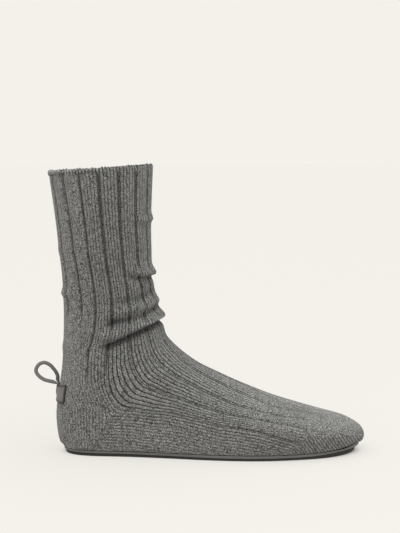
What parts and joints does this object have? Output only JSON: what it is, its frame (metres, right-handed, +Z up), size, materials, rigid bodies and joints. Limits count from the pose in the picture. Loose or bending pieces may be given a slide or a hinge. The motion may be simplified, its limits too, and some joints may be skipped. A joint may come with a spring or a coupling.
{
  "type": "sock shoe",
  "caption": "Mid-calf ribbed knit sock fixed to a thin layered sole, with a leather tab and pull loop at the back of the heel.",
  "frame": {"origin": "on the floor, in the middle of the shoe's overall length and width", "axes": "+X from the heel to the toe, +Y to the inner side of the foot, +Z up; this is the right shoe"},
  "size_m": [0.2756, 0.094, 0.238],
  "materials": {
    "knit": "marled grey rib knit, matte and slightly hairy",
    "sole_rubber": "matte black rubber",
    "sole_edge": "smooth grey leather, satin",
    "footbed": "plain felted footbed, matte",
    "tab_leather": "dark grey leather, satin"
  },
  "bodies": {
    "root": {"upper": "knit", "outsole": "sole_rubber", "midsole": "sole_edge", "insole": "footbed", "heel_tab": "tab_leather", "pull_loop": "tab_leather"}
  },
  "joints": []
}
